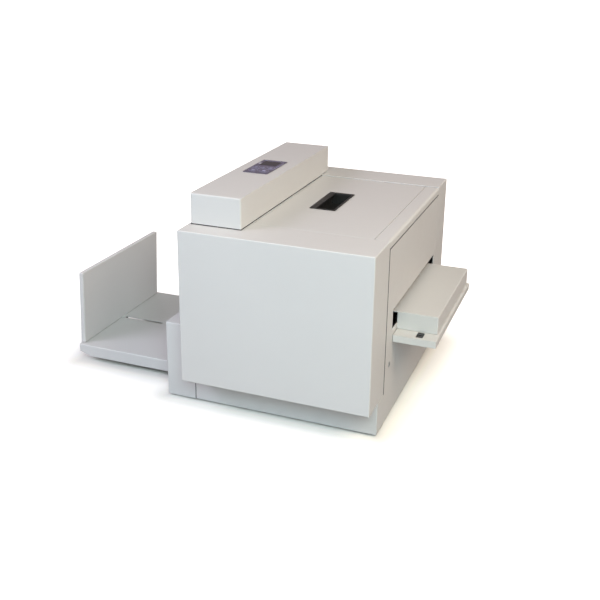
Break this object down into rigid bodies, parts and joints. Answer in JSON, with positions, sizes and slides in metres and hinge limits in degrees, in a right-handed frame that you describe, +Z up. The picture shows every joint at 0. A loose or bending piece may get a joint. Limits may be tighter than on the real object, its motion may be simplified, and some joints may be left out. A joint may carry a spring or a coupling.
{
  "type": "booklet spine squaring machine",
  "caption": "Hand-fed desktop booklet spine squarer: sheet-steel body, infeed deck right, delivery tray with sliding stop left, hinged lid, raised control box.",
  "frame": {"origin": "on the surface that the machine stands on, under the middle of the machine's whole box, from the delivery stop to the infeed ledge and from the front cover to the mains inlet", "axes": "+Z up. +X from the delivery side to the infeed side, the way an operator at the front sees it from left to right. +Y from the front cover to the rear cover."},
  "size_m": [0.72, 0.527, 0.4061],
  "materials": {
    "painted_steel": "light warm grey powder coat with a fine even texture, satin",
    "rubber": "black rubber, matt",
    "black_plastic": "black moulded plastic, finely grained",
    "zinc_steel": "zinc-plated sheet steel, satin",
    "ground_steel": "ground steel, bright",
    "aluminium": "machined aluminium",
    "motor_case": "black enamelled motor can",
    "supply_case": "folded aluminium case",
    "board_green": "green solder mask",
    "overlay_film": "printed polyester film, muted violet grey",
    "key_film": "pale violet moulded keys, satin",
    "display_glass": "dark polished display window"
  },
  "bodies": {
    "machine": {"base_pan": "painted_steel", "front_cover": "painted_steel", "rear_cover": "painted_steel", "right_side_panel": "painted_steel", "left_side_panel": "painted_steel", "top_frame": "painted_steel", "control_box": "painted_steel", "infeed_deck": "painted_steel", "infeed_ledge": "painted_steel", "delivery_housing": "painted_steel", "delivery_tray": "painted_steel", "foot_front_left": "rubber", "foot_rear_left": "rubber", "foot_front_right": "rubber", "foot_rear_right": "rubber", "transport_belt": "rubber", "jack_belt": "rubber", "infeed_sensor": "black_plastic", "mains_inlet": "black_plastic", "side_panel_screw": "zinc_steel", "hinge_pin_front": "zinc_steel", "hinge_pin_rear": "zinc_steel", "control_floor": "zinc_steel", "outfeed_deck": "zinc_steel", "frame_plate_front": "zinc_steel", "frame_plate_rear": "zinc_steel", "upper_jaw": "ground_steel", "guide_rod_left": "ground_steel", "guide_rod_right": "ground_steel", "transport_motor": "motor_case", "jack_motor": "motor_case", "lead_screw_motor": "motor_case", "power_supply": "supply_case", "control_board": "board_green", "keypad_overlay": "overlay_film", "display_window": "display_glass"},
    "lid": {"top_lid": "painted_steel", "lid_grip": "black_plastic"},
    "key_start": {"key_start": "key_film"},
    "key_stop": {"key_stop": "key_film"},
    "key_minus": {"key_minus": "key_film"},
    "key_plus": {"key_plus": "key_film"},
    "key_mode": {"key_mode": "key_film"},
    "delivery_stop": {"delivery_stop": "painted_steel"},
    "stop_knob": {"stop_knob": "black_plastic"},
    "infeed_drive_roller": {"infeed_drive_roller": "rubber"},
    "outfeed_drive_roller": {"outfeed_drive_roller": "rubber"},
    "motor_pulley": {"motor_pulley": "aluminium"},
    "infeed_nip_carrier": {"infeed_nip_carrier": "zinc_steel"},
    "infeed_nip_roller": {"infeed_nip_roller": "rubber"},
    "outfeed_nip_carrier": {"outfeed_nip_carrier": "zinc_steel"},
    "outfeed_nip_roller": {"outfeed_nip_roller": "rubber"},
    "lower_jaw": {"lower_jaw": "ground_steel"},
    "jack_screw_front": {"jack_screw_front": "ground_steel"},
    "jack_screw_rear": {"jack_screw_rear": "ground_steel"},
    "press_carriage": {"press_carriage": "aluminium"},
    "press_roller": {"press_roller": "ground_steel"},
    "lead_screw": {"lead_screw": "ground_steel"},
    "stop_gate": {"stop_gate": "zinc_steel"},
    "mains_switch": {"mains_switch": "black_plastic"}
  },
  "joints": [
    {"name": "lid_hinge", "type": "hinge", "parent": "machine", "child": "lid", "pos_m": [0.2425, 0, 0.3415], "axis": [0, 1, 0], "range_deg": [0, 95]},
    {"name": "key_start_press", "type": "slide", "parent": "machine", "child": "key_start", "axis": [0, 0, -1], "range_m": [0, 0.0008], "stiffness_N_per_m": 300, "springref_m": -0.0015},
    {"name": "key_stop_press", "type": "slide", "parent": "machine", "child": "key_stop", "axis": [0, 0, -1], "range_m": [0, 0.0008], "stiffness_N_per_m": 300, "springref_m": -0.0015},
    {"name": "key_minus_press", "type": "slide", "parent": "machine", "child": "key_minus", "axis": [0, 0, -1], "range_m": [0, 0.0008], "stiffness_N_per_m": 300, "springref_m": -0.0015},
    {"name": "key_plus_press", "type": "slide", "parent": "machine", "child": "key_plus", "axis": [0, 0, -1], "range_m": [0, 0.0008], "stiffness_N_per_m": 300, "springref_m": -0.0015},
    {"name": "key_mode_press", "type": "slide", "parent": "machine", "child": "key_mode", "axis": [0, 0, -1], "range_m": [0, 0.0008], "stiffness_N_per_m": 300, "springref_m": -0.0015},
    {"name": "delivery_stop_slide", "type": "slide", "parent": "machine", "child": "delivery_stop", "axis": [1, 0, 0], "range_m": [0, 0.09]},
    {"name": "stop_knob_turn", "type": "hinge", "parent": "delivery_stop", "child": "stop_knob", "pos_m": [-0.3495, 0, 0.028], "axis": [0, 0, 1], "range_deg": [0, 180]},
    {"name": "infeed_drive_spin", "type": "hinge", "parent": "machine", "child": "infeed_drive_roller", "pos_m": [0.237, 0, 0.182], "axis": [0, 1, 0], "continuous": true},
    {"name": "outfeed_drive_spin", "type": "hinge", "parent": "machine", "child": "outfeed_drive_roller", "pos_m": [-0.02, 0, 0.182], "axis": [0, 1, 0], "continuous": true},
    {"name": "motor_pulley_spin", "type": "hinge", "parent": "machine", "child": "motor_pulley", "pos_m": [0.175, -0.2115, 0.098], "axis": [0, 1, 0], "continuous": true},
    {"name": "infeed_nip_close", "type": "slide", "parent": "machine", "child": "infeed_nip_carrier", "axis": [0, 0, -1], "range_m": [0, 0.0135], "stiffness_N_per_m": 900, "springref_m": -0.02},
    {"name": "infeed_nip_spin", "type": "hinge", "parent": "infeed_nip_carrier", "child": "infeed_nip_roller", "pos_m": [0.237, 0, 0.224], "axis": [0, 1, 0], "continuous": true},
    {"name": "outfeed_nip_close", "type": "slide", "parent": "machine", "child": "outfeed_nip_carrier", "axis": [0, 0, -1], "range_m": [0, 0.0135], "stiffness_N_per_m": 900, "springref_m": -0.02},
    {"name": "outfeed_nip_spin", "type": "hinge", "parent": "outfeed_nip_carrier", "child": "outfeed_nip_roller", "pos_m": [-0.02, 0, 0.224], "axis": [0, 1, 0], "continuous": true},
    {"name": "lower_jaw_lift", "type": "slide", "parent": "machine", "child": "lower_jaw", "axis": [0, 0, 1], "range_m": [0, 0.016]},
    {"name": "jack_screw_front_spin", "type": "hinge", "parent": "machine", "child": "jack_screw_front", "pos_m": [0.11, -0.1235, 0.1], "axis": [0, 0, 1], "range_deg": [-722, 0]},
    {"name": "jack_screw_rear_spin", "type": "hinge", "parent": "machine", "child": "jack_screw_rear", "pos_m": [0.11, 0.1315, 0.1], "axis": [0, 0, 1], "range_deg": [-722, 0]},
    {"name": "press_carriage_slide", "type": "slide", "parent": "machine", "child": "press_carriage", "axis": [0, 1, 0], "range_m": [0, 0.346]},
    {"name": "lead_screw_spin", "type": "hinge", "parent": "machine", "child": "lead_screw", "pos_m": [0.038, 0, 0.272], "axis": [0, 1, 0], "range_deg": [-5000, 0]},
    {"name": "press_roller_spin", "type": "hinge", "parent": "press_carriage", "child": "press_roller", "pos_m": [0.04, -0.1715, 0.21], "axis": [0, 0, 1], "continuous": true},
    {"name": "stop_gate_lift", "type": "hinge", "parent": "machine", "child": "stop_gate", "pos_m": [0.058, 0, 0.15], "axis": [0, 1, 0], "range_deg": [0, 90]},
    {"name": "mains_switch_rock", "type": "hinge", "parent": "machine", "child": "mains_switch", "pos_m": [0.167, 0.2555, 0.1], "axis": [1, 0, 0], "range_deg": [-12, 0]}
  ],
  "couplings": [
    {"joint": "outfeed_drive_spin", "follows": "infeed_drive_spin", "ratio": 1},
    {"joint": "motor_pulley_spin", "follows": "infeed_drive_spin", "ratio": 1},
    {"joint": "jack_screw_front_spin", "follows": "lower_jaw_lift", "rad_per_m": -785.4},
    {"joint": "jack_screw_rear_spin", "follows": "lower_jaw_lift", "rad_per_m": -785.4},
    {"joint": "lead_screw_spin", "follows": "press_carriage_slide", "rad_per_m": -251.33},
    {"joint": "press_roller_spin", "follows": "press_carriage_slide", "rad_per_m": -50}
  ]
}
